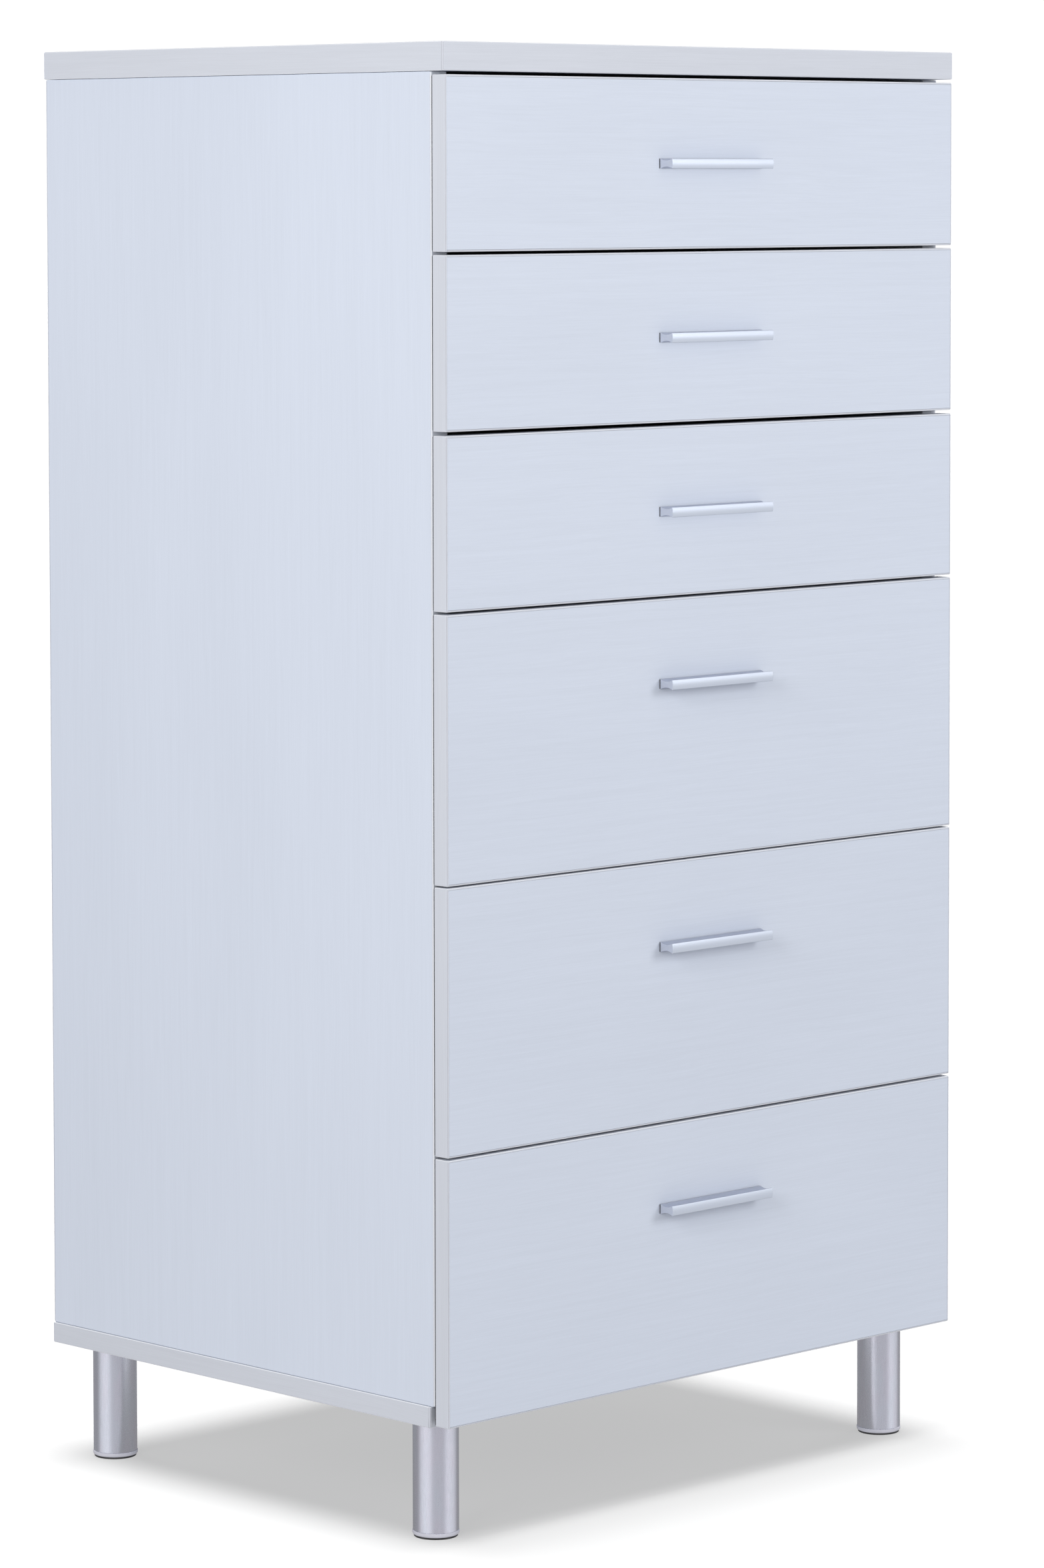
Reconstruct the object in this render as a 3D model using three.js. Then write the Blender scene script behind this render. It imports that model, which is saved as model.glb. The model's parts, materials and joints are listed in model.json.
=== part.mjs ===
// Tall chest of six drawers on four round legs: three shallow drawers above three deep ones.
// Millimetres, +Z up. The origin is on the floor, at the centre of the chest's plan outline.
// The fronts and handles face -Y. Left (-X) and right (+X) are as seen from the front.

import * as THREE from "three";

// ---- Driving dimensions -------------------------------------------------------------------

const TOTAL_HEIGHT = 1238;
const FRONT_WIDTH = 620;
const DEPTH_BEHIND_FRONTS = 507; // from the face of the drawer fronts to the rear edge of the panels
const FIT_GAP = 0.3; // hairline left between pieces that are screwed or glued together

const SIDE_THICKNESS = 18;
const SIDE_OUTER_X = 309.3; // the fronts reach 0.7 mm past the side panels
const SIDE_SETBACK = 17.5; // from the face of the fronts to the front edge of the side panels

const TOP_THICKNESS = 24;
const TOP_WIDTH = 623;
const TOP_SETBACK = 0.7;

const BOTTOM_THICKNESS = 18;
const BOTTOM_WIDTH = 621.2;
const BOTTOM_SETBACK = 21.3;

const BACK_THICKNESS = 3;
const BACK_INSET = 4; // from the rear edge of the side panels to the back panel
const EDGE_RADIUS = 1; // rounding of the laminated boards' edges
const EDGE_STEPS = 2;

const LEG_HEIGHT = 100;
const LEG_RADIUS = 19.3;
const LEG_X = 275;
const LEG_FRONT_SETBACK = 52.5; // leg axes, from the face of the fronts
const LEG_BACK_SETBACK = 465;
const FOOT_RADIUS = 19.7;
const FOOT_HEIGHT = 5.2;
const PAD_RADIUS = 18.4;
const PAD_HEIGHT = 1.6;
const LEG_SIDES = 32;

const FRONT_THICKNESS = 16;
const SHALLOW = { front: 143.6, box: 100 }; // height of the front, height of the box behind it
const DEEP = { front: 222.2, box: 170 };
// Drawers from the top down, each with the gap above its front.
const DRAWERS = [
  { ...SHALLOW, gapAbove: 2.9 },
  { ...SHALLOW, gapAbove: 2.5 },
  { ...SHALLOW, gapAbove: 3.2 },
  { ...DEEP, gapAbove: 2.2 },
  { ...DEEP, gapAbove: 1.4 },
  { ...DEEP, gapAbove: 1.9 },
];

const BOX_LENGTH = 450;
const BOX_LIFT = 24; // from the lower edge of a front to the lower edge of its box
const BOX_WALL = 12;
const RUNNER_SPACE = 12.7; // on each side, between a drawer box and the side panel
const DRAWER_BOTTOM_THICKNESS = 3;
const GROOVE_LIFT = 8; // from the lower edge of a box side to its groove
const GROOVE_HEIGHT = 3.6;
const GROOVE_DEPTH = 5;

const RUNNER_LENGTH = 450;
const RUNNER_HEIGHT = 28;
const RUNNER_WIDTH = 10.5;
const RUNNER_SHEET = 1.5;
const RUNNER_DROP = 4; // the channel's lower lip passes this far under the drawer box
const RUNNER_SETBACK = 2; // behind the front edge of the side panel

const HANDLE_LENGTH = 124;
const HANDLE_DROP = 71.8; // from the upper edge of a front to the handle's centre line
const HANDLE_FLANGE_HEIGHT = 8.5;
const HANDLE_FLANGE_DEPTH = 1.6;
const HANDLE_TIP_HEIGHT = 8.6;
const HANDLE_TIP_DEPTH = 15;
const HANDLE_WAIST_HEIGHT = 5.7; // between the two finger grooves
const HANDLE_DEPTH = 16;
const CURVE_STEPS = 8;

// ---- Derived planes -----------------------------------------------------------------------

const BACK_Y = (DEPTH_BEHIND_FRONTS + HANDLE_DEPTH) / 2;
const FRONT_Y = BACK_Y - DEPTH_BEHIND_FRONTS; // face of the drawer fronts
const TOP_UNDERSIDE = TOTAL_HEIGHT - TOP_THICKNESS;
const BOTTOM_TOPSIDE = LEG_HEIGHT + BOTTOM_THICKNESS;
const SIDE_INNER_X = SIDE_OUTER_X - SIDE_THICKNESS;
const BOX_OUTER_X = SIDE_INNER_X - RUNNER_SPACE;
const BOX_INNER_X = BOX_OUTER_X - BOX_WALL;
const BOX_FRONT_Y = FRONT_Y + FRONT_THICKNESS + FIT_GAP;
const BOX_BACK_Y = BOX_FRONT_Y + BOX_LENGTH;
const SIDES = [
  { side: "left", sign: -1 },
  { side: "right", sign: 1 },
];

// ---- Materials ----------------------------------------------------------------------------

const material = (color, roughness, metalness = 0) =>
  new THREE.MeshStandardMaterial({ color, roughness, metalness });

const laminate = material(0xd6dee9, 0.5);
const boxLaminate = material(0xe4e6e8, 0.6);
const hardboard = material(0xdcdedf, 0.7);
const brushedSteel = material(0xb9bac4, 0.35, 1);
const anodisedAluminium = material(0xd3d8e2, 0.3, 1);
const enamelledSteel = material(0xe9eaea, 0.45);

// ---- Shared shapes ------------------------------------------------------------------------

const chest = new THREE.Group();

function add(name, geometry, surface, parent = chest) {
  const mesh = new THREE.Mesh(geometry, surface);
  mesh.name = name;
  parent.add(mesh);
  return mesh;
}

// A square-edged board between two opposite corners.
function plainBoard(name, surface, low, high, parent) {
  const size = high.map((value, axis) => value - low[axis]);
  const mesh = add(name, new THREE.BoxGeometry(...size), surface, parent);
  mesh.position.set(...low.map((value, axis) => value + size[axis] / 2));
  return mesh;
}

// A laminated board between two opposite corners, with the edges of both faces rounded.
// It is extruded through its thickness, along local Z, and then turned to face X, Y or Z.
function laminatedBoard(name, low, high, facing, parent) {
  const size = new THREE.Vector3(...high).sub(new THREE.Vector3(...low));
  const [width, length, thickness] = {
    X: [size.z, size.y, size.x],
    Y: [size.x, size.z, size.y],
    Z: [size.x, size.y, size.z],
  }[facing];
  const outline = new THREE.Shape();
  outline.moveTo(-width / 2, -length / 2);
  outline.lineTo(width / 2, -length / 2);
  outline.lineTo(width / 2, length / 2);
  outline.lineTo(-width / 2, length / 2);
  const geometry = new THREE.ExtrudeGeometry(outline, {
    depth: thickness - 2 * EDGE_RADIUS,
    bevelThickness: EDGE_RADIUS,
    bevelSize: EDGE_RADIUS,
    bevelOffset: -EDGE_RADIUS,
    bevelSegments: EDGE_STEPS,
  });
  geometry.translate(0, 0, EDGE_RADIUS - thickness / 2);
  const mesh = add(name, geometry, laminate, parent);
  mesh.position.set(...low).addScaledVector(size, 0.5);
  if (facing === "X") mesh.rotation.y = Math.PI / 2;
  if (facing === "Y") mesh.rotation.x = Math.PI / 2;
  return mesh;
}

// A closed outline from a list of [x, y] corners.
function polygon(corners) {
  return new THREE.Shape(corners.map(([x, y]) => new THREE.Vector2(x, y)));
}

// A profile in the X-Z plane, drawn for the right-hand side, carried straight back along Y.
// The left-hand copy is the same outline with X reversed and its corners in reverse order.
function alongDepth(name, surface, corners, sign, startY, length, parent) {
  const sided = corners.map(([x, z]) => [sign * x, z]);
  const geometry = new THREE.ExtrudeGeometry(polygon(sign > 0 ? sided : sided.reverse()), {
    depth: length,
    bevelEnabled: false,
  });
  const mesh = add(name, geometry, surface, parent);
  mesh.rotation.x = Math.PI / 2; // local Z turns to -Y, local Y to +Z
  mesh.position.y = startY + length;
  return mesh;
}

// ---- Cabinet ------------------------------------------------------------------------------

laminatedBoard(
  "top_panel",
  [-TOP_WIDTH / 2, FRONT_Y + TOP_SETBACK, TOP_UNDERSIDE],
  [TOP_WIDTH / 2, BACK_Y, TOTAL_HEIGHT],
  "Z",
);
laminatedBoard(
  "bottom_panel",
  [-BOTTOM_WIDTH / 2, FRONT_Y + BOTTOM_SETBACK, LEG_HEIGHT],
  [BOTTOM_WIDTH / 2, BACK_Y, BOTTOM_TOPSIDE],
  "Z",
);
for (const { side, sign } of SIDES) {
  const faces = [sign * SIDE_INNER_X, sign * SIDE_OUTER_X].sort((a, b) => a - b);
  laminatedBoard(
    `side_panel_${side}`,
    [faces[0], FRONT_Y + SIDE_SETBACK, BOTTOM_TOPSIDE + FIT_GAP],
    [faces[1], BACK_Y, TOP_UNDERSIDE - FIT_GAP],
    "X",
  );
}
plainBoard(
  "back_panel",
  hardboard,
  [FIT_GAP - SIDE_INNER_X, BACK_Y - BACK_INSET - BACK_THICKNESS, BOTTOM_TOPSIDE + FIT_GAP],
  [SIDE_INNER_X - FIT_GAP, BACK_Y - BACK_INSET, TOP_UNDERSIDE - FIT_GAP],
);

// ---- Legs: a round tube on a slightly wider plastic foot with a contact pad ------------------

function legProfile() {
  const top = LEG_HEIGHT - FIT_GAP;
  return [
    new THREE.Vector2(0, 0),
    new THREE.Vector2(PAD_RADIUS, 0),
    new THREE.Vector2(PAD_RADIUS, PAD_HEIGHT),
    new THREE.Vector2(FOOT_RADIUS, PAD_HEIGHT),
    new THREE.Vector2(FOOT_RADIUS, FOOT_HEIGHT),
    new THREE.Vector2(LEG_RADIUS, FOOT_HEIGHT),
    new THREE.Vector2(LEG_RADIUS, top),
    new THREE.Vector2(0, top),
  ];
}

for (const { side, sign } of SIDES) {
  for (const [row, setback] of [["front", LEG_FRONT_SETBACK], ["back", LEG_BACK_SETBACK]]) {
    const leg = add(`leg_${row}_${side}`, new THREE.LatheGeometry(legProfile(), LEG_SIDES), brushedSteel);
    leg.rotation.x = Math.PI / 2;
    leg.position.set(sign * LEG_X, FRONT_Y + setback, 0);
  }
}

// ---- Drawers ------------------------------------------------------------------------------

// Section of a box side, looking along Y, with the groove that holds the drawer bottom.
function boxSideSection(height) {
  const grooveX = BOX_INNER_X + GROOVE_DEPTH;
  const grooveTop = GROOVE_LIFT + GROOVE_HEIGHT;
  return [
    [BOX_INNER_X, 0],
    [BOX_OUTER_X, 0],
    [BOX_OUTER_X, height],
    [BOX_INNER_X, height],
    [BOX_INNER_X, grooveTop],
    [grooveX, grooveTop],
    [grooveX, GROOVE_LIFT],
    [BOX_INNER_X, GROOVE_LIFT],
  ];
}

// Section of a cabinet runner, looking along Y: a channel that opens towards the drawer.
function runnerSection() {
  const webX = SIDE_INNER_X - FIT_GAP;
  const innerX = webX - RUNNER_SHEET;
  const lipX = webX - RUNNER_WIDTH;
  const lowerLip = RUNNER_SHEET;
  const upperLip = RUNNER_HEIGHT - RUNNER_SHEET;
  return [
    [lipX, 0],
    [webX, 0],
    [webX, RUNNER_HEIGHT],
    [lipX, RUNNER_HEIGHT],
    [lipX, upperLip],
    [innerX, upperLip],
    [innerX, lowerLip],
    [lipX, lowerLip],
  ];
}

// Section of the handle, looking along X: distance from the drawer front, height.
function handleSection() {
  const flange = HANDLE_FLANGE_HEIGHT / 2;
  const tip = HANDLE_TIP_HEIGHT / 2;
  const middle = (HANDLE_FLANGE_DEPTH + HANDLE_TIP_DEPTH) / 2;
  const pull = HANDLE_WAIST_HEIGHT - (flange + tip) / 2; // control height that gives the waist
  const outline = new THREE.Shape();
  outline.moveTo(FIT_GAP, -flange);
  outline.lineTo(HANDLE_FLANGE_DEPTH, -flange);
  outline.quadraticCurveTo(middle, -pull, HANDLE_TIP_DEPTH, -tip);
  outline.quadraticCurveTo(2 * HANDLE_DEPTH - HANDLE_TIP_DEPTH, 0, HANDLE_TIP_DEPTH, tip);
  outline.quadraticCurveTo(middle, pull, HANDLE_FLANGE_DEPTH, flange);
  outline.lineTo(FIT_GAP, flange);
  return outline;
}

function addHandle(name, centreZ, parent) {
  const geometry = new THREE.ExtrudeGeometry(handleSection(), {
    depth: HANDLE_LENGTH,
    bevelEnabled: false,
    curveSegments: CURVE_STEPS,
  });
  const handle = add(name, geometry, anodisedAluminium, parent);
  handle.rotation.set(Math.PI / 2, -Math.PI / 2, 0); // local X turns to -Y, local Z to -X
  handle.position.set(HANDLE_LENGTH / 2, FRONT_Y, centreZ);
}

let upperEdge = TOP_UNDERSIDE;
DRAWERS.forEach(({ front, box, gapAbove }, index) => {
  const name = `drawer_${index + 1}`;
  const drawer = new THREE.Group();
  chest.add(drawer);

  const frontTop = upperEdge - gapAbove;
  const frontBottom = frontTop - front;
  const boxBottom = frontBottom + BOX_LIFT;
  const boxTop = boxBottom + box;
  upperEdge = frontBottom;

  laminatedBoard(
    `${name}_front`,
    [-FRONT_WIDTH / 2, FRONT_Y, frontBottom],
    [FRONT_WIDTH / 2, FRONT_Y + FRONT_THICKNESS, frontTop],
    "Y",
    drawer,
  );
  addHandle(`${name}_handle`, frontTop - HANDLE_DROP, drawer);

  for (const { side, sign } of SIDES) {
    const boxSide = alongDepth(
      `${name}_side_${side}`, boxLaminate, boxSideSection(box), sign, BOX_FRONT_Y, BOX_LENGTH, drawer,
    );
    boxSide.position.z = boxBottom;
    const runner = alongDepth(
      `runner_${index + 1}_${side}`, enamelledSteel, runnerSection(), sign,
      FRONT_Y + SIDE_SETBACK + RUNNER_SETBACK, RUNNER_LENGTH, chest,
    );
    runner.position.z = boxBottom - RUNNER_DROP;
  }

  const bottomZ = boxBottom + GROOVE_LIFT + FIT_GAP;
  const bottomX = BOX_INNER_X + GROOVE_DEPTH - 2 * FIT_GAP;
  plainBoard(
    `${name}_bottom`,
    hardboard,
    [-bottomX, BOX_FRONT_Y, bottomZ],
    [bottomX, BOX_BACK_Y, bottomZ + DRAWER_BOTTOM_THICKNESS],
    drawer,
  );
  plainBoard(
    `${name}_back`,
    boxLaminate,
    [FIT_GAP - BOX_INNER_X, BOX_BACK_Y - BOX_WALL, bottomZ + DRAWER_BOTTOM_THICKNESS + FIT_GAP],
    [BOX_INNER_X - FIT_GAP, BOX_BACK_Y, boxTop],
    drawer,
  );
});

export default chest;
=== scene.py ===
import json
import math

import bmesh
import bpy
from mathutils import Matrix, Vector

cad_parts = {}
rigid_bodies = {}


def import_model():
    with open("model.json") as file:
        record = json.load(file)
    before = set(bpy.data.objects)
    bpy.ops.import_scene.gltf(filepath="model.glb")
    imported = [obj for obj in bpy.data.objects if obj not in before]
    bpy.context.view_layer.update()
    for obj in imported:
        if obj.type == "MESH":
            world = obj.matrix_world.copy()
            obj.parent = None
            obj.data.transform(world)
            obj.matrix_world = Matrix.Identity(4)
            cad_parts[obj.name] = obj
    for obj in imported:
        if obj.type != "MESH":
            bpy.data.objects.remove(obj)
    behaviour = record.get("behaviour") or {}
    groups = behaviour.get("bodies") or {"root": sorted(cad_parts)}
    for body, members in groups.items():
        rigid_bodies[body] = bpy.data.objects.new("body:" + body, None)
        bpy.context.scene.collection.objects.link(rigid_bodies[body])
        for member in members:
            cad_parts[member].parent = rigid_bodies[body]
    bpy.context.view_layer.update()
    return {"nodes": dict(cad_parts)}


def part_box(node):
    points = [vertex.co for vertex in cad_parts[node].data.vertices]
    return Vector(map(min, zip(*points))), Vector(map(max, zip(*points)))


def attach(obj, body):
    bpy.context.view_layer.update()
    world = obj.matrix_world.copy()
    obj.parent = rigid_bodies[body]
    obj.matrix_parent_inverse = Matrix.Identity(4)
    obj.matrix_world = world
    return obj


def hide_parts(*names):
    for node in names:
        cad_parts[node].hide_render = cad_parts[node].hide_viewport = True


# The looks of a tall chest of six drawers, in metres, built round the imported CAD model.
# The fronts face -Y and the floor is z = 0. Left (-X) and right (+X) are as seen from the front.

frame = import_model()

MM = 0.001
SIDES = (("left", -1), ("right", 1))
DRAWERS = range(1, 7)
AXES = {"X": 0, "Y": 1, "Z": 2}

SHARP_ANGLE = math.radians(50)  # edges sharper than this are not smoothed
FLAT = 0.9  # a face looks along an axis when its normal's largest part is over this

# Edge bands glued round the laminated boards
BAND = 1.5 * MM
BAND_ROUND = 1.2 * MM
CORE_ROUND = 0.2 * MM
HAIRLINE = 0.12 * MM
TOUCHING = 1e-6

# Roller runners: the drawer's rail hooks over the front roller of the cabinet's channel, and the
# rail's own roller runs in the channel. Ends and heights are from the box side or the channel.
ROLLER_RADIUS = 9.0 * MM
ROLLER_WIDTH = 5.6 * MM
RAIL_SHEET = 1.2 * MM
RAIL_SHELF = 10 * MM  # how far the rail reaches in under the box side
RAIL_HOOK_WIDTH = 9.4 * MM
RAIL_HOOK_TOP = 18.2 * MM
RAIL_GAP = 0.05 * MM
RAIL_FRONT = 2 * MM
RAIL_BACK = 28 * MM
RAIL_HUB = (1.5 * MM, 14 * MM, 6.8 * MM)  # out from the web, in from the back, up from the bottom
CHANNEL_WEB = 1.5 * MM
CHANNEL_HUB = (0.2 * MM, 12 * MM, 10.6 * MM)  # in from the web, in from the front, up
CHANNEL_SCREW_HEIGHT = 13 * MM
CHANNEL_SCREWS = (37 * MM, 229 * MM, 421 * MM)  # from the channel's front end

# ---- Camera and light ------------------------------------------------------------------------

EYE = Vector((-3.4126, -3.5061, 1.1222))
LOOK_YAW = math.radians(44.360)  # from +Y towards +X
LOOK_PITCH = math.radians(-3.592)
LOOK_ROLL = math.radians(-0.103)
LENS = 127.50
SENSOR_WIDTH = 36
SHIFT_Y = -0.1602
CLIP_END = 200


def make_camera():
    data = bpy.data.cameras.new("camera")
    data.lens = LENS
    data.sensor_width = SENSOR_WIDTH
    data.shift_y = SHIFT_Y
    data.clip_end = CLIP_END
    camera = bpy.data.objects.new("camera", data)
    forward = Vector((
        math.sin(LOOK_YAW) * math.cos(LOOK_PITCH),
        math.cos(LOOK_YAW) * math.cos(LOOK_PITCH),
        math.sin(LOOK_PITCH),
    ))
    level = Vector((math.cos(LOOK_YAW), -math.sin(LOOK_YAW), 0))
    upright = level.cross(forward)
    right = math.cos(LOOK_ROLL) * level + math.sin(LOOK_ROLL) * upright
    up = right.cross(forward)
    axes = Matrix((right, up, -forward)).transposed().to_4x4()
    camera.matrix_world = Matrix.Translation(EYE) @ axes
    bpy.context.scene.collection.objects.link(camera)
    bpy.context.scene.camera = camera


SOFTBOX_SIZE = 1.5
# Place, target, power in watts and colour
SOFTBOXES = {
    "softbox_left": ((-3.2, -1.2, 1.8), (-0.3, 0, 0.8), 55.0, (1.0, 1.0, 1.0)),
    "softbox_front_right": ((1.5, -3.2, 1.8), (0, -0.25, 0.8), 38.5, (0.97, 0.98, 1.0)),
    "softbox_right": ((3.2, 0.2, 1.8), (0.3, 0, 0.8), 38.0, (1.0, 1.0, 1.0)),
    "softbox_rear": ((0.2, 3.2, 1.8), (0, 0.25, 0.8), 38.0, (1.0, 1.0, 1.0)),
    "softbox_top": ((0, 0, 3.6), (0, 0, 0), 16.0, (1.0, 1.0, 1.0)),
}
OVERHEAD_POWER = 17.0  # watts per square metre
OVERHEAD_ANGLE = math.radians(48)  # how wide the light looks from the floor
OVERHEAD_CASTERS = ("bottom_panel_", "leg_", "drawer_6_front_")


def area_light(name, place, target, power, colour):
    data = bpy.data.lights.new(name, "AREA")
    data.shape = "SQUARE"
    data.size = SOFTBOX_SIZE
    data.energy = power
    data.color = colour
    light = bpy.data.objects.new(name, data)
    light.location = place
    light.rotation_euler = (Vector(target) - Vector(place)).to_track_quat("-Z", "Y").to_euler()
    light.visible_camera = False
    bpy.context.scene.collection.objects.link(light)


def make_overhead():
    """A broad light straight above that falls only on the floor, and is kept off it only by the
    bottom panel, the lowest drawer's front and the legs, for one soft even shadow."""
    data = bpy.data.lights.new("overhead", "SUN")
    data.energy = OVERHEAD_POWER
    data.angle = OVERHEAD_ANGLE
    overhead = bpy.data.objects.new("overhead", data)
    bpy.context.scene.collection.objects.link(overhead)
    lit = bpy.data.collections.new("lit_by_overhead")
    lit.objects.link(bpy.data.objects["floor"])
    casters = bpy.data.collections.new("overhead_shadow_casters")
    for thing in bpy.data.objects:
        if thing.name.startswith(OVERHEAD_CASTERS):
            casters.objects.link(thing)
    overhead.light_linking.receiver_collection = lit
    overhead.light_linking.blocker_collection = casters


def make_lights():
    for name, (place, target, power, colour) in SOFTBOXES.items():
        area_light(name, place, target, power, colour)
    make_overhead()


def from_camera_side(degrees, rise=0.0):
    """A direction so many degrees to the right of the camera, as seen from above the chest."""
    angle = math.atan2(EYE.y, EYE.x) + math.radians(degrees)
    return Vector((math.cos(angle), math.sin(angle), rise)).normalized()


# The walls of the studio, and soft glows on them: direction, cosines of the angles at which the glow
# is full and has ended, strength and colour
STUDIO_STRENGTH = 0.15
STUDIO_COLOUR = (0.95, 0.95, 1.0)
GLOWS = (
    (from_camera_side(0), 0.7, -0.5, 0.31, (0.97, 0.97, 1.0)),
    (from_camera_side(-55, -0.2), 0.985, 0.72, 0.30, (1.0, 1.0, 1.0)),
    (from_camera_side(84, -0.2), 0.985, 0.70, 0.32, (0.99, 0.99, 1.0)),
    (from_camera_side(180), 0.7, -0.5, 0.136, (1.0, 1.0, 1.0)),
    (Vector((0, 0, -1)), 0.7, 0.0, 0.16, (1.0, 1.0, 1.0)),
)


def make_world():
    """A dim studio with soft glows in several directions."""
    world = bpy.data.worlds.new("studio")
    world.use_nodes = True
    nodes, links = world.node_tree.nodes, world.node_tree.links
    direction = nodes.new("ShaderNodeTexCoord").outputs["Generated"]
    background = nodes["Background"]
    background.inputs["Color"].default_value = (*STUDIO_COLOUR, 1)
    background.inputs["Strength"].default_value = STUDIO_STRENGTH
    total = background.outputs[0]
    for towards, near, far, strength, colour in GLOWS:
        facing = nodes.new("ShaderNodeVectorMath")
        facing.operation = "DOT_PRODUCT"
        links.new(direction, facing.inputs[0])
        facing.inputs[1].default_value = towards
        ramp = nodes.new("ShaderNodeMapRange")
        ramp.interpolation_type = "SMOOTHSTEP"
        links.new(facing.outputs["Value"], ramp.inputs["Value"])
        limits = {"From Min": far, "From Max": near, "To Min": 0.0, "To Max": strength}
        for socket, value in limits.items():
            ramp.inputs[socket].default_value = value
        glow = nodes.new("ShaderNodeBackground")
        glow.inputs["Color"].default_value = (*colour, 1)
        links.new(ramp.outputs["Result"], glow.inputs["Strength"])
        add = nodes.new("ShaderNodeAddShader")
        links.new(total, add.inputs[0])
        links.new(glow.outputs[0], add.inputs[1])
        total = add.outputs[0]
    links.new(total, nodes["World Output"].inputs["Surface"])
    scene = bpy.context.scene
    scene.world = world
    scene.view_settings.view_transform = "Standard"
    scene.view_settings.look = "None"


# ---- Node materials --------------------------------------------------------------------------


class Surface:
    """A Principled material with short calls for adding nodes to it."""

    def __init__(self, name, **sockets):
        self.material = bpy.data.materials.new(name)
        self.material.use_nodes = True
        self.tree = self.material.node_tree
        self.shader = self.tree.nodes["Principled BSDF"]
        self.place = self.node("ShaderNodeTexCoord").outputs["Object"]
        for socket, value in sockets.items():
            self.shader.inputs[socket.replace("_", " ")].default_value = value

    def node(self, kind, inputs=None, **settings):
        made = self.tree.nodes.new(kind)
        for name, value in settings.items():
            setattr(made, name, value)
        for name, value in (inputs or {}).items():
            socket = made.inputs[name]
            if isinstance(value, bpy.types.NodeSocket):
                self.tree.links.new(value, socket)
            else:
                socket.default_value = value
        return made

    def set(self, socket, value):
        """Links a node's output to one of the shader's sockets."""
        self.tree.links.new(value, self.shader.inputs[socket])

    def math(self, operation, a, b):
        return self.node("ShaderNodeMath", {0: a, 1: b}, operation=operation).outputs[0]

    def vector(self, operation, a, b):
        return self.node("ShaderNodeVectorMath", {0: a, 1: b}, operation=operation).outputs[0]

    def stretched(self, scale):
        """The surface's own coordinates, multiplied by one factor along each axis."""
        return self.vector("MULTIPLY", self.place, scale)

    def noise(self, vector, detail=2.0, roughness=0.5, scale=1.0):
        inputs = {"Vector": vector, "Scale": scale, "Detail": detail, "Roughness": roughness}
        return self.node("ShaderNodeTexNoise", inputs).outputs["Fac"]

    def spread(self, value, low, high, to_low=0.0, to_high=1.0):
        """Stretches the range from low to high over the range from to_low to to_high."""
        inputs = {"Value": value, "From Min": low, "From Max": high, "To Min": to_low, "To Max": to_high}
        return self.node("ShaderNodeMapRange", inputs).outputs["Result"]

    def blend(self, factor, a, b, mode="MIX"):
        made = self.node("ShaderNodeMix", data_type="RGBA", blend_type=mode)
        for index, value in ((0, factor), (6, a), (7, b)):
            if isinstance(value, bpy.types.NodeSocket):
                self.tree.links.new(value, made.inputs[index])
            else:
                made.inputs[index].default_value = value
        return made.outputs[2]

    def bump(self, height, distance, strength=1.0):
        inputs = {"Height": height, "Distance": distance, "Strength": strength}
        self.set("Normal", self.node("ShaderNodeBump", inputs).outputs["Normal"])


def along(axis, lengthwise, crosswise):
    """Frequencies per metre: one along the named axis, another across it."""
    return tuple(lengthwise if AXES[axis] == index else crosswise for index in range(3))


def laminate(name, axis, tone, depth=1.0):
    """Cool white laminate with a fine embossed wood grain that runs along one axis."""
    surface = Surface(name, IOR=1.46)
    drift = surface.noise(surface.stretched(along(axis, 5, 26)), detail=2)
    wander = surface.node(
        "ShaderNodeVectorMath",
        {0: surface.node("ShaderNodeCombineXYZ", {0: drift, 1: drift, 2: drift}).outputs[0],
         1: along(axis, 0.0, 9 * MM)},
        operation="MULTIPLY",
    ).outputs[0]
    place = surface.vector("ADD", surface.place, wander)
    pore_place = surface.vector("MULTIPLY", place, along(axis, 16, 900))
    line_place = surface.vector("MULTIPLY", place, along(axis, 3.5, 260))
    pores = surface.noise(pore_place, detail=3, roughness=0.62)
    lines = surface.noise(line_place, detail=2)
    clouds = surface.noise(surface.stretched(along(axis, 2.5, 7)), detail=2)
    grain = surface.math("ADD", surface.math("MULTIPLY", pores, 0.6), surface.math("MULTIPLY", lines, 0.4))
    shaded = surface.spread(grain, 0.30, 0.70)
    dark = tuple(channel * (1 - 0.035 * depth) for channel in tone) + (1,)
    colour = surface.blend(shaded, dark, tuple(tone) + (1,))
    cloud = surface.spread(clouds, 0.3, 0.7, 0.985, 1.01)
    tint = surface.node("ShaderNodeCombineColor", {0: cloud, 1: cloud, 2: cloud}).outputs[0]
    surface.set("Base Color", surface.blend(1.0, colour, tint, "MULTIPLY"))
    surface.set("Roughness", surface.spread(pores, 0.3, 0.7, 0.50, 0.40))
    surface.bump(grain, 0.10 * MM * depth, 0.35)
    return surface.material


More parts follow.
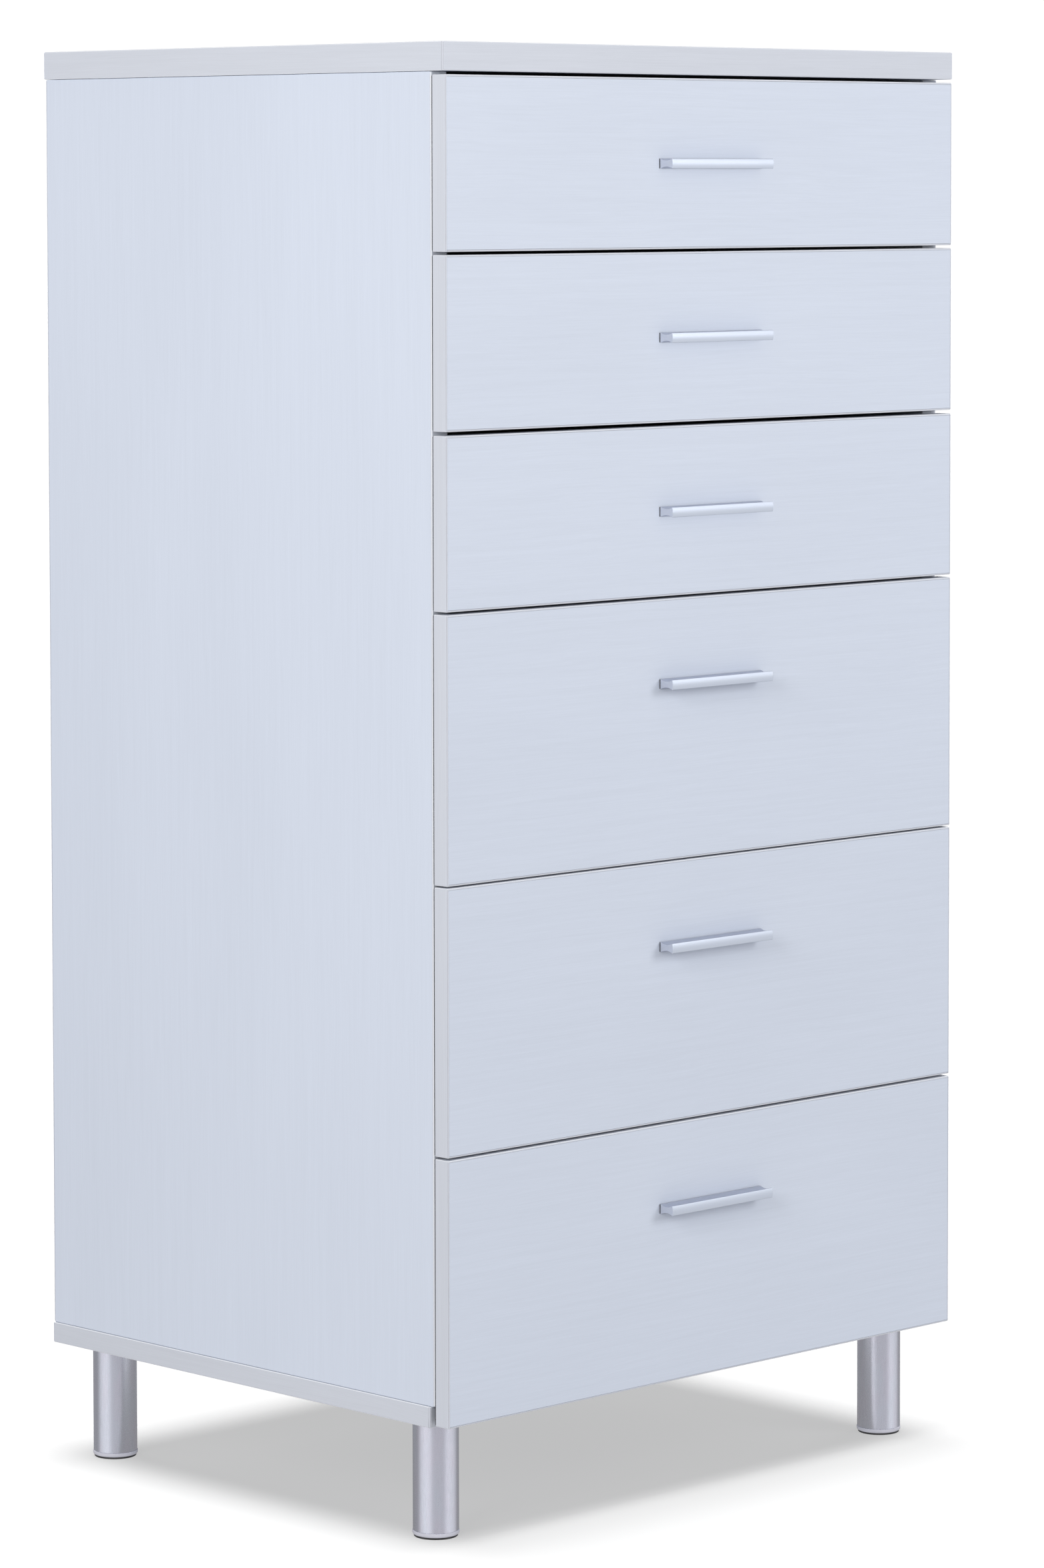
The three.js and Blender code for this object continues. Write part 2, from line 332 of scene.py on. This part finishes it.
def brushed(name, axis, tone, patch_tone, roughness, contrast, lengthwise, crosswise, bump, **sockets):
    """Brushed metal: short wavy streaks along one axis, in patches of two tints."""
    surface = Surface(name, **sockets)
    drift = surface.noise(surface.stretched(along(axis, lengthwise * 0.8, lengthwise * 2)), detail=1)
    sideways = surface.node("ShaderNodeCombineXYZ", {0: drift, 1: drift, 2: drift}).outputs[0]
    sway = surface.vector("MULTIPLY", sideways, along(axis, 0.0, 2.5 / crosswise))
    place = surface.vector("ADD", surface.place, sway)
    streaks = surface.noise(
        surface.vector("MULTIPLY", place, along(axis, lengthwise, crosswise)), detail=3, roughness=0.65,
    )
    patches = surface.noise(surface.stretched(along(axis, lengthwise * 0.3, crosswise * 0.12)), detail=2)
    bright = surface.blend(surface.spread(patches, 0.35, 0.65), (*patch_tone, 1), (*tone, 1))
    shade = surface.spread(streaks, 0.30, 0.70, 1 - contrast, 1.0)
    shades = surface.node("ShaderNodeCombineColor", {0: shade, 1: shade, 2: shade}).outputs[0]
    surface.set("Base Color", surface.blend(1.0, bright, shades, "MULTIPLY"))
    surface.set("Roughness", surface.spread(streaks, 0.3, 0.7, roughness * 1.2, roughness * 0.8))
    surface.bump(streaks, bump)
    return surface.material


def moulded(name, tone, roughness, variation, frequency, bump, **sockets):
    """Plastic, enamel, foil or rubber: an even tone with a faint mottle and a fine surface texture."""
    surface = Surface(name, **sockets)
    mottle = surface.noise(surface.place, detail=3, scale=frequency * 0.1)
    texture = surface.noise(surface.place, detail=2, scale=frequency)
    dark = tuple(channel * (1 - variation) for channel in tone) + (1,)
    surface.set("Base Color", surface.blend(surface.spread(mottle, 0.3, 0.7), dark, tuple(tone) + (1,)))
    surface.set("Roughness", surface.spread(texture, 0.3, 0.7, roughness * 0.9, roughness * 1.1))
    surface.bump(texture, bump)
    return surface.material


FACE_TONE = (0.725, 0.780, 0.880)
BAND_TONE = (0.690, 0.718, 0.778)

# How deep the embossed grain is, by the axis it runs along
FACE_GRAIN = {"X": 1.45, "Y": 1.45, "Z": 1.25}
BAND_GRAIN = 1.8

# Roughness, contrast, streaks per metre lengthwise and crosswise, bump
LEG_BRUSHING = (0.26, 0.11, 90, 900, 0.006 * MM)
HANDLE_BRUSHING = (0.42, 0.03, 12, 2600, 0.004 * MM)
LEG_METALLIC = 1.0
HANDLE_METALLIC = 0.5


def handle_aluminium(variant, tone, patch_tone):
    name = f"handle_{variant}_aluminium"
    return brushed(name, "X", tone, patch_tone, *HANDLE_BRUSHING, Metallic=HANDLE_METALLIC)


face = {
    axis: laminate(f"laminate_grain_{axis.lower()}", axis, FACE_TONE, FACE_GRAIN[axis]) for axis in AXES
}
band = {axis: laminate(f"edge_band_{axis.lower()}", axis, BAND_TONE, BAND_GRAIN) for axis in AXES}
leg_metal = brushed(
    "leg_brushed_metal", "Z", (0.865, 0.89, 0.99), (0.885, 0.875, 0.98), *LEG_BRUSHING,
    Metallic=LEG_METALLIC,
)
handle_metal = handle_aluminium("satin", (0.70, 0.755, 0.85), (0.69, 0.745, 0.85))
# painted shade: the grooves above and below the bar get a darker tone
handle_groove_shade = handle_aluminium("groove", (0.47, 0.505, 0.60), (0.46, 0.495, 0.60))
# the cut ends get a darker tone
handle_end = handle_aluminium("cut", (0.58, 0.61, 0.685), (0.57, 0.60, 0.685))
# painted highlight for the rounded band edges
polished_edge = moulded("polished_edge", (0.93, 0.95, 0.98), 0.35, 0.01, 600, 0.01 * MM)
# painted shade on the upright rounded corners at the front, together with the dark seam of the glued band
worn_corner = moulded("worn_corner", (0.52, 0.53, 0.58), 0.5, 0.10, 900, 0.01 * MM)
foot_plastic = moulded("foot_plastic", (0.66, 0.66, 0.73), 0.38, 0.03, 900, 0.02 * MM)
# black for strips of painted shade beside the drawer fronts and under the handle bars
seal_foam = moulded("seal_foam", (0.02, 0.02, 0.021), 0.9, 0.2, 1200, 0.05 * MM)
pad_rubber = moulded("pad_rubber", (0.05, 0.05, 0.052), 0.8, 0.2, 1500, 0.05 * MM)
box_foil = moulded("drawer_box_foil", (0.80, 0.81, 0.83), 0.48, 0.02, 700, 0.02 * MM)
board_paint = moulded("painted_hardboard", (0.78, 0.79, 0.80), 0.62, 0.04, 1200, 0.05 * MM)
enamel = moulded("runner_enamel", (0.80, 0.81, 0.82), 0.32, 0.02, 500, 0.02 * MM, Coat_Weight=0.3)
nylon = moulded("roller_nylon", (0.72, 0.72, 0.70), 0.35, 0.03, 800, 0.01 * MM)
zinc = moulded("zinc_plate", (0.60, 0.61, 0.62), 0.30, 0.12, 1400, 0.01 * MM, Metallic=1.0)


# ---- Mesh builders ---------------------------------------------------------------------------


def piece(name, mesh_data, material, body, replaces=()):
    """Turns finished bmesh geometry into a named object that rides on a CAD body."""
    mesh = bpy.data.meshes.new(name)
    mesh_data.to_mesh(mesh)
    mesh_data.free()
    for polygon in mesh.polygons:
        polygon.use_smooth = True
    mesh.set_sharp_from_angle(angle=SHARP_ANGLE)
    mesh.materials.append(material)
    made = bpy.data.objects.new(name, mesh)
    bpy.context.scene.collection.objects.link(made)
    # keeps large flat faces flat where they meet a rounded edge
    normals = made.modifiers.new("normals", "WEIGHTED_NORMAL")
    normals.keep_sharp = True
    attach(made, body)
    if replaces:
        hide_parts(*replaces)
    return made


def block(low, high, rounds):
    """A box between two corners. rounds gives (test, radius, steps): edges that pass test are rounded."""
    low, high = Vector(low), Vector(high)
    work = bmesh.new()
    bmesh.ops.create_cube(work, size=1)
    size = high - low
    for vertex in work.verts:
        vertex.co = Vector(low[i] + (vertex.co[i] + 0.5) * size[i] for i in range(3))
    for test, radius, steps in rounds:
        chosen = [edge for edge in work.edges if test((edge.verts[0].co + edge.verts[1].co) / 2)]
        bmesh.ops.bevel(
            work, geom=chosen, offset=radius, segments=steps, profile=0.5, affect="EDGES",
        )
    bmesh.ops.recalc_face_normals(work, faces=work.faces)
    return work


def every_edge(_middle):
    return True


def turned(profile, centre, axis, sides=48):
    """A closed solid of revolution. profile lists (radius, distance along the axis), axis to axis."""
    work = bmesh.new()
    along_axis = Vector((0, 0, 0))
    along_axis[AXES[axis]] = 1
    first = Vector((0, 0, 0))
    first[(AXES[axis] + 1) % 3] = 1
    second = along_axis.cross(first)
    rings = []
    for radius, distance in profile:
        middle = Vector(centre) + along_axis * distance
        if radius < 1e-9:
            rings.append([work.verts.new(middle)])
            continue
        ring = []
        for step in range(sides):
            angle = 2 * math.pi * step / sides
            outwards = math.cos(angle) * first + math.sin(angle) * second
            ring.append(work.verts.new(middle + radius * outwards))
        rings.append(ring)
    for lower, upper in zip(rings, rings[1:]):
        for step in range(sides):
            after = (step + 1) % sides
            corners = [lower[step % len(lower)], lower[after % len(lower)],
                       upper[after % len(upper)], upper[step % len(upper)]]
            unique = list(dict.fromkeys(corners))
            if len(unique) > 2:
                work.faces.new(unique)
    bmesh.ops.recalc_face_normals(work, faces=work.faces)
    return work


def extruded(outline, axis, sections):
    """A solid with one outline carried along an axis. sections lists (distance, shrink): the outline
    is drawn at each distance, pulled in towards its middle by shrink, so the ends can be chamfered."""
    work = bmesh.new()
    middle = Vector((sum(x for x, _ in outline), sum(y for _, y in outline))) / len(outline)
    span = max((Vector(point) - middle).length for point in outline)
    others = [index for index in range(3) if index != AXES[axis]]
    rings = []
    for distance, shrink in sections:
        ring = []
        for point in outline:
            near = middle + (Vector(point) - middle) * (1 - shrink / span)
            place = Vector((0, 0, 0))
            place[AXES[axis]] = distance
            place[others[0]], place[others[1]] = near
            ring.append(work.verts.new(place))
        rings.append(ring)
    count = len(outline)
    for lower, upper in zip(rings, rings[1:]):
        for step in range(count):
            after = (step + 1) % count
            work.faces.new((lower[step], lower[after], upper[after], upper[step]))
    for ring in (rings[0], rings[-1]):
        work.faces.new(ring)
    bmesh.ops.triangulate(work, faces=[f for f in work.faces if len(f.verts) > 4])
    bmesh.ops.recalc_face_normals(work, faces=work.faces)
    return work


# ---- Laminated boards: a core with its two faces, and a band glued on each edge ---------------


def banded_board(node, body, thickness, grain, edges):
    """A laminated board in a CAD node's box. thickness is its thin axis, grain the axis its grain
    runs along, and edges lists (axis, sign) in the order they were glued: the first bands run between
    the later ones, which cover their ends."""
    low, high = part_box(node)
    core_low, core_high = low.copy(), high.copy()
    for order, (axis, sign) in enumerate(edges):
        index = AXES[axis]
        strip_low, strip_high = low.copy(), high.copy()
        if sign > 0:
            strip_low[index] = high[index] - BAND
            core_high[index] = strip_low[index] - HAIRLINE
            outer = high[index]
        else:
            strip_high[index] = low[index] + BAND
            core_low[index] = strip_high[index] + HAIRLINE
            outer = low[index]
        for other_axis, other_sign in edges[order + 1:]:
            other = AXES[other_axis]
            if other == index:
                continue
            if other_sign > 0:
                strip_high[other] = high[other] - BAND - HAIRLINE
            else:
                strip_low[other] = low[other] + BAND + HAIRLINE
        run = next(a for a in AXES if a not in (axis, thickness))

        def exposed(middle, index=index, outer=outer, along_run=AXES[run]):
            """Whether an edge is on the band's outer face, or round an end that no other band covers."""
            depth = abs(middle[index] - outer)
            to_end = min(abs(middle[along_run] - bound[along_run]) for bound in (low, high))
            return depth < TOUCHING or (to_end < TOUCHING and depth <= 0.9 * BAND)

        strip = block(strip_low, strip_high, [(exposed, BAND_ROUND, 3)])
        label = {"X": ("left", "right"), "Y": ("front", "back"), "Z": ("lower", "upper")}[axis][sign > 0]
        made = piece(f"{node}_band_{label}", strip, band[run], body)
        made.data.materials.append(polished_edge)
        made.data.materials.append(worn_corner)
        for polygon in made.data.polygons:
            normal = polygon.normal
            if max(abs(part) for part in normal) > FLAT:
                continue
            # painted highlight on the level edges, the rear-facing ones and all edges of the side panels,
            # and painted shade on the other upright edges, which also stands for the dark seam of the
            # glued band
            highlighted = thickness == "X" or abs(normal.z) > 0.5 or normal.y > 0.3
            polygon.material_index = 1 if highlighted else 2
    core = block(core_low, core_high, [(every_edge, CORE_ROUND, 2)])
    piece(f"{node}_core", core, face[grain], body, replaces=[node])


def make_cabinet():
    banded_board("top_panel", "cabinet", "Z", "X", [("Y", 1), ("X", -1), ("X", 1), ("Y", -1)])
    banded_board("bottom_panel", "cabinet", "Z", "X", [("Y", 1), ("X", -1), ("X", 1), ("Y", -1)])
    for side, _ in SIDES:
        banded_board(f"side_panel_{side}", "cabinet", "X", "Z", [("Y", 1), ("Y", -1)])
    paint_node("back_panel", board_paint)


def paint_node(node, material):
    materials = frame["nodes"][node].data.materials
    materials.clear()
    materials.append(material)


# ---- Legs ------------------------------------------------------------------------------------

FOOT_TOP = 5.2 * MM
FOOT_LIP = 0.4 * MM  # how far the foot ring stands out past the tube
FOOT_ROUND = 1.6 * MM
FOOT_EASE = 0.5 * MM
TUBE_EASE = 0.4 * MM
# the black pad stands tall enough to show under the foot: a rubber pad, and painted contact shadow as well
PAD_TOP = 1.6 * MM
PAD_INSET = 1.3 * MM
SMALL_CHAMFER = 0.3 * MM


def make_leg(node):
    """A metal tube on a plastic foot ring with a black rubber pad under it, tall enough to show as painted
    contact shadow too.
    """
    low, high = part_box(node)
    centre = Vector(((low.x + high.x) / 2, (low.y + high.y) / 2, 0))
    foot = (high.x - low.x) / 2
    tube = foot - FOOT_LIP
    top = high.z
    tube_profile = [
        (0, FOOT_TOP), (tube - SMALL_CHAMFER, FOOT_TOP), (tube, FOOT_TOP + SMALL_CHAMFER),
        (tube, top - TUBE_EASE), (tube - TUBE_EASE, top), (0, top),
    ]
    foot_profile = [(0, PAD_TOP)]
    for step in range(7):
        angle = math.pi / 2 * step / 6
        radius = foot - FOOT_ROUND * (1 - math.sin(angle))
        foot_profile.append((radius, PAD_TOP + FOOT_ROUND * (1 - math.cos(angle))))
    for step in range(5):
        angle = math.pi / 2 * step / 4
        radius = foot - FOOT_EASE * (1 - math.cos(angle))
        foot_profile.append((radius, FOOT_TOP - FOOT_EASE * (1 - math.sin(angle))))
    foot_profile += [(0, FOOT_TOP)]
    pad = foot - PAD_INSET
    pad_profile = [
        (0, 0), (pad - SMALL_CHAMFER, 0), (pad, SMALL_CHAMFER), (pad, PAD_TOP), (0, PAD_TOP),
    ]
    piece(f"{node}_tube", turned(tube_profile, centre, "Z", 96), leg_metal, "cabinet", [node])
    piece(f"{node}_foot", turned(foot_profile, centre, "Z", 72), foot_plastic, "cabinet")
    piece(f"{node}_pad", turned(pad_profile, centre, "Z", 48), pad_rubber, "cabinet")


# ---- Screws and fittings ---------------------------------------------------------------------


def screw_head(radius, height):
    """A domed head that stands on z = 0 with a cross recess, as a mesh to be copied."""
    steps = 6
    profile = [(0, 0), (radius, 0)]
    for step in range(1, steps):
        angle = math.pi / 2 * step / steps
        profile.append((radius * math.cos(angle), height * math.sin(angle)))
    profile.append((0, height))
    reach, half_width = radius * 0.55, radius * 0.13
    floor_z, above_z = height * 0.45, height * 1.4
    dome = scratch_object(turned(profile, (0, 0, 0), "Z", 24))
    cutters = []
    for x, y in ((reach, half_width), (half_width, reach)):
        cutter = scratch_object(block((-x, -y, floor_z), (x, y, above_z), []))
        modifier = dome.modifiers.new("recess", "BOOLEAN")
        modifier.object = cutter
        modifier.solver = "EXACT"
        cutters.append(cutter)
    bpy.context.view_layer.update()
    shaped = dome.evaluated_get(bpy.context.evaluated_depsgraph_get())
    mesh = bpy.data.meshes.new_from_object(shaped)
    for scrap in (dome, *cutters):
        bpy.data.objects.remove(scrap)
    return mesh


def scratch_object(work):
    mesh = bpy.data.meshes.new("scratch")
    work.to_mesh(mesh)
    work.free()
    made = bpy.data.objects.new("scratch", mesh)
    bpy.context.scene.collection.objects.link(made)
    return made


def head_set(name, head, places, outward, body):
    """Copies of one head at several places, facing outward, as one piece."""
    turn = Vector(outward).to_track_quat("Z", "Y").to_matrix().to_4x4()
    work = bmesh.new()
    for place in places:
        copy = head.copy()
        copy.transform(Matrix.Translation(place) @ turn)
        work.from_mesh(copy)
        bpy.data.meshes.remove(copy)
    return piece(name, work, zinc, body)


# ---- Drawers ---------------------------------------------------------------------------------

# The handle's section: a flange on a thin black strip of painted shade, a narrow waist and a slightly
# domed tip
HANDLE_SHADE_THICKNESS = 0.8 * MM
HANDLE_FLANGE = 1.6 * MM
HANDLE_DOME = 0.7 * MM
HANDLE_FLANGE_HALF = 4.25 * MM
HANDLE_TIP_HALF = 4.3 * MM
HANDLE_WAIST_HALF = 2.85 * MM
HANDLE_EASE = 0.2 * MM
HANDLE_END_CHAMFER = 0.35 * MM
HANDLE_SCREW_SPACING = 96 * MM
HANDLES_WITHOUT_SHADOW = (1, 2, 3)  # the upper three leave hardly any shadow in the photo


def curve(start, control, end, steps):
    """Points on a quadratic curve, without its first point."""
    points = []
    for step in range(1, steps + 1):
        t = step / steps
        points.append(tuple(
            (1 - t) ** 2 * a + 2 * t * (1 - t) * b + t * t * c for a, b, c in zip(start, control, end)
        ))
    return points


def make_handle(number):
    """A bar with hollowed sides on a black strip of painted shade, and its two screws inside the drawer
    front.
    """
    node = f"drawer_{number}_handle"
    body = f"drawer_{number}"
    low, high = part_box(node)
    face_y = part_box(f"drawer_{number}_front")[0].y
    centre_z = (low.z + high.z) / 2
    nose = face_y - low.y
    tip = nose - HANDLE_DOME
    waist = 2 * HANDLE_WAIST_HALF - (HANDLE_FLANGE_HALF + HANDLE_TIP_HALF) / 2
    middle = (HANDLE_FLANGE + tip) / 2
    # one half of the section as (distance from the drawer front, height), from the back to the nose
    flange_edge = (HANDLE_FLANGE - 0.3 * MM, HANDLE_FLANGE_HALF)
    flange_corner = (HANDLE_FLANGE + 0.5 * MM, HANDLE_FLANGE_HALF)
    groove_start = (HANDLE_FLANGE + 1.0 * MM, HANDLE_FLANGE_HALF - 0.5 * MM)
    groove_deepest = (middle, waist - 0.15 * MM)
    groove_end = (tip - 0.6 * MM, HANDLE_TIP_HALF - 0.3 * MM)
    tip_corner = (tip - 0.1 * MM, HANDLE_TIP_HALF + 0.1 * MM)
    dome_start = (tip + 0.1 * MM, HANDLE_TIP_HALF - 0.3 * MM)
    flange_back = (HANDLE_SHADE_THICKNESS, HANDLE_FLANGE_HALF - HANDLE_EASE)
    half = [flange_back, (HANDLE_SHADE_THICKNESS + HANDLE_EASE, HANDLE_FLANGE_HALF), flange_edge]
    half += curve(flange_edge, flange_corner, groove_start, 3)
    half += curve(groove_start, groove_deepest, groove_end, 14)
    half += curve(groove_end, tip_corner, dome_start, 4)
    half += curve(dome_start, (nose, HANDLE_TIP_HALF * 0.45), (nose, 0), 8)
    upper = [(face_y - distance, centre_z + height) for distance, height in half]
    lower = [(face_y - distance, centre_z - height) for distance, height in half[-2::-1]]
    ends = [
        (low.x, HANDLE_END_CHAMFER), (low.x + HANDLE_END_CHAMFER, 0),
        (high.x - HANDLE_END_CHAMFER, 0), (high.x, HANDLE_END_CHAMFER),
    ]
    solid = extruded(upper + lower, "X", ends)
    bar = piece(f"{node}_bar", solid, handle_metal, body, [node])
    bar.visible_shadow = number not in HANDLES_WITHOUT_SHADOW
    bar.data.materials.append(handle_groove_shade)
    bar.data.materials.append(handle_end)
    # the cut ends get a darker tone than the front, and the grooves above and below a darker one still,
    # which is painted shade
    for polygon in bar.data.polygons:
        if abs(polygon.normal.x) > FLAT:
            polygon.material_index = 2
        elif abs(polygon.normal.z) > 0.6:
            polygon.material_index = 1
    # a black strip under the flange, painted shade along the bar's contact with the front
    contact_shade_half = HANDLE_FLANGE_HALF - HANDLE_EASE
    contact_shade = block(
        (low.x + HANDLE_EASE, face_y - HANDLE_SHADE_THICKNESS, centre_z - contact_shade_half),
        (high.x - HANDLE_EASE, face_y - 0.02 * MM, centre_z + contact_shade_half), [],
    )
    piece(f"{node}_gasket", contact_shade, seal_foam, body)
    inside_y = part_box(f"drawer_{number}_front")[1].y
    places = [Vector((sign * HANDLE_SCREW_SPACING / 2, inside_y, centre_z)) for _, sign in SIDES]
    head_set(f"drawer_{number}_handle_screws", handle_screw, places, (0, 1, 0), body)


# a black strip behind each side edge of the drawer front, painted shade in the gap to the side panel
SHADE_STRIP_INSET = 1.0 * MM  # from the edge of the drawer front
SHADE_STRIP_WIDTH = 8.0 * MM
SHADE_STRIP_DEPTH = 1.1 * MM
SHADE_STRIP_ROUND = 0.2 * MM


def make_shade_strip(number, side, sign):
    """A black strip on the back of the drawer front: painted shade that darkens the gap to the side panel.
    """
    low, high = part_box(f"drawer_{number}_front")
    edge = high.x if sign > 0 else -low.x
    ends = sorted((sign * (edge - SHADE_STRIP_INSET), sign * (edge - SHADE_STRIP_INSET - SHADE_STRIP_WIDTH)))
    strip = block(
        (ends[0], high.y, low.z + SHADE_STRIP_INSET), (ends[1], high.y + SHADE_STRIP_DEPTH, high.z - SHADE_STRIP_INSET),
        [(every_edge, SHADE_STRIP_ROUND, 2)],
    )
    piece(f"drawer_{number}_seal_{side}", strip, seal_foam, f"drawer_{number}")


def make_rail(number, side, sign):
    """The drawer's half of the runner: a folded sheet under the box side, and its rear roller."""
    body = f"drawer_{number}"
    low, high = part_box(f"drawer_{number}_side_{side}")
    outer = high.x if sign > 0 else -low.x
    bottom = low.z
    inner = outer - RAIL_SHELF
    web = outer + RAIL_GAP
    hook = outer + RAIL_HOOK_WIDTH
    hook_top = bottom + RAIL_HOOK_TOP
    section = [
        (inner, bottom - RAIL_SHEET), (web + RAIL_SHEET, bottom - RAIL_SHEET),
        (web + RAIL_SHEET, hook_top - RAIL_SHEET), (hook, hook_top - RAIL_SHEET),
        (hook, hook_top), (web, hook_top),
        (web, bottom - RAIL_GAP), (inner, bottom - RAIL_GAP),
    ]
    outline = [(sign * x, z) for x, z in section]
    rail = extruded(outline, "Y", [(low.y + RAIL_FRONT, 0), (high.y - RAIL_BACK, 0)])
    piece(f"drawer_{number}_rail_{side}", rail, enamel, body)
    hub_out, hub_in, hub_up = RAIL_HUB
    hub = Vector((sign * (web + hub_out), high.y - hub_in, bottom + hub_up))
    piece(f"drawer_{number}_roller_{side}", turned(roller_profile(sign), hub, "X"), nylon, body)


def roller_profile(sign):
    """A roller from its hub outwards, with a rim and a rivet head, thickness towards sign."""
    rim = ROLLER_RADIUS
    width = ROLLER_WIDTH
    shape = [
        (0, 0), (rim - 0.5 * MM, 0), (rim, 0.5 * MM), (rim, width - 0.5 * MM), (rim - 0.5 * MM, width),
        (rim - 2.2 * MM, width), (rim - 2.6 * MM, width - 0.8 * MM), (3.4 * MM, width - 0.8 * MM),
        (3.2 * MM, width - 0.2 * MM), (2.4 * MM, width + 0.4 * MM), (0, width + 0.5 * MM),
    ]
    return [(radius, sign * distance) for radius, distance in shape]


def make_runner(number, side, sign):
    """The cabinet's half: the CAD channel, with its front roller and the screws in its web."""
    node = f"runner_{number}_{side}"
    low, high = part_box(node)
    paint_node(node, enamel)
    web = (high.x if sign > 0 else -low.x) - CHANNEL_WEB
    hub_out, hub_in, hub_up = CHANNEL_HUB
    hub = Vector((sign * (web - hub_out), low.y + hub_in, low.z + hub_up))
    piece(f"{node}_roller", turned(roller_profile(-sign), hub, "X"), nylon, "cabinet")
    height = low.z + CHANNEL_SCREW_HEIGHT
    places = [Vector((sign * web, low.y + distance, height)) for distance in CHANNEL_SCREWS]
    head_set(f"{node}_screws", runner_screw, places, (-sign, 0, 0), "cabinet")


# The screws and cams that hold a drawer box together
BOX_SCREW_UP = 32 * MM
BOX_SCREW_DOWN = 16 * MM
CAM_INSET = 30 * MM
DEEP_SIDE = 120 * MM
SHALLOW_CAMS = (0.56,)  # shares of the side's height
DEEP_CAMS = (0.30, 0.78)


def make_drawer(number):
    body = f"drawer_{number}"
    banded_board(f"{body}_front", body, "Y", "X", [("Z", -1), ("Z", 1), ("X", -1), ("X", 1)])
    make_handle(number)
    for part in ("side_left", "side_right", "back"):
        paint_node(f"{body}_{part}", box_foil)
    paint_node(f"{body}_bottom", board_paint)
    for side, sign in SIDES:
        make_shade_strip(number, side, sign)
        make_rail(number, side, sign)
        make_runner(number, side, sign)
        low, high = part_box(f"{body}_side_{side}")
        back_low, back_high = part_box(f"{body}_back")
        outer = high.x if sign > 0 else low.x
        heights = [low.z + BOX_SCREW_UP, high.z - BOX_SCREW_DOWN]
        places = [Vector((outer, (back_low.y + back_high.y) / 2, z)) for z in heights]
        head_set(f"{body}_box_screws_{side}", box_screw, places, (sign, 0, 0), body)
        inner = low.x if sign > 0 else high.x
        cams = [Vector((inner, low.y + CAM_INSET, z)) for z in cam_heights(low.z, high.z)]
        head_set(f"{body}_cams_{side}", cam_head, cams, (-sign, 0, 0), body)


def cam_heights(low, high):
    """One cam in a shallow box side, two in a deep one."""
    shares = SHALLOW_CAMS if high - low < DEEP_SIDE else DEEP_CAMS
    return [low + share * (high - low) for share in shares]


# ---- Stage -----------------------------------------------------------------------------------


FLOOR_REACH = 60
FLOOR_TONES = ((0.098, 0.098, 0.098, 1), (0.102, 0.102, 0.102, 1))
FLOOR_GLOW = 0.485
DOME_RADIUS = 55
DOME_GLOW = 1.05
SHADED_FLOOR_TONE = 0.29
SHADED_FLOOR_HEIGHTS = (-0.02, -0.01)


def piece_of_stage(name, work, material, unseen_by):
    """A stage object that the named kinds of ray pass through."""
    mesh = bpy.data.meshes.new(name)
    work.to_mesh(mesh)
    work.free()
    mesh.materials.append(material)
    made = bpy.data.objects.new(name, mesh)
    bpy.context.scene.collection.objects.link(made)
    for ray in unseen_by:
        setattr(made, f"visible_{ray}", False)


def glowing(name, level, strength, **sockets):
    """A black surface that gives off an even grey or white light."""
    surface = Surface(name, Base_Color=(0, 0, 0, 1), **sockets)
    surface.shader.inputs["Emission Color"].default_value = (level, level, level, 1)
    surface.shader.inputs["Emission Strength"].default_value = strength
    return surface.material


def make_stage():
    """A white floor that gives off part of its light itself and neither lights nor shades the chest,
    and a white dome for the camera alone."""
    floor = bmesh.new()
    bmesh.ops.create_grid(floor, x_segments=8, y_segments=8, size=FLOOR_REACH)
    surface = Surface("floor_white", Roughness=0.9, Specular_IOR_Level=0)
    mottle = surface.spread(surface.noise(surface.place, scale=1.5), 0.3, 0.7)
    surface.set("Base Color", surface.blend(mottle, *FLOOR_TONES))
    surface.shader.inputs["Emission Color"].default_value = (1, 1, 1, 1)
    surface.shader.inputs["Emission Strength"].default_value = FLOOR_GLOW
    piece_of_stage("floor", floor, surface.material, ("diffuse", "glossy", "shadow"))

    # the metal legs reflect the shaded floor between them
    low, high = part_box("bottom_panel")
    under, over = SHADED_FLOOR_HEIGHTS
    shade = block((low.x, low.y, under), (high.x, high.y, over), [])
    grey = glowing("shaded_floor_grey", SHADED_FLOOR_TONE, 1.0, Roughness=1.0, Specular_IOR_Level=0)
    piece_of_stage("shaded_floor", shade, grey, ("camera", "diffuse"))

    dome = bmesh.new()
    bmesh.ops.create_icosphere(dome, subdivisions=4, radius=DOME_RADIUS)
    bmesh.ops.reverse_faces(dome, faces=dome.faces)
    white = glowing("dome_white", 1, DOME_GLOW)
    rays = ("diffuse", "glossy", "transmission", "volume_scatter", "shadow")
    piece_of_stage("dome", dome, white, rays)


# ---- Everything ------------------------------------------------------------------------------

make_camera()
make_world()
make_stage()
make_cabinet()
# the heads' radii and heights
handle_screw = screw_head(4.2 * MM, 2.2 * MM)
runner_screw = screw_head(3.4 * MM, 1.2 * MM)
box_screw = screw_head(3.6 * MM, 0.8 * MM)
cam_head = screw_head(6.0 * MM, 0.9 * MM)
for row in ("front", "back"):
    for side_name, _ in SIDES:
        make_leg(f"leg_{row}_{side_name}")
for drawer_number in DRAWERS:
    make_drawer(drawer_number)
make_lights()
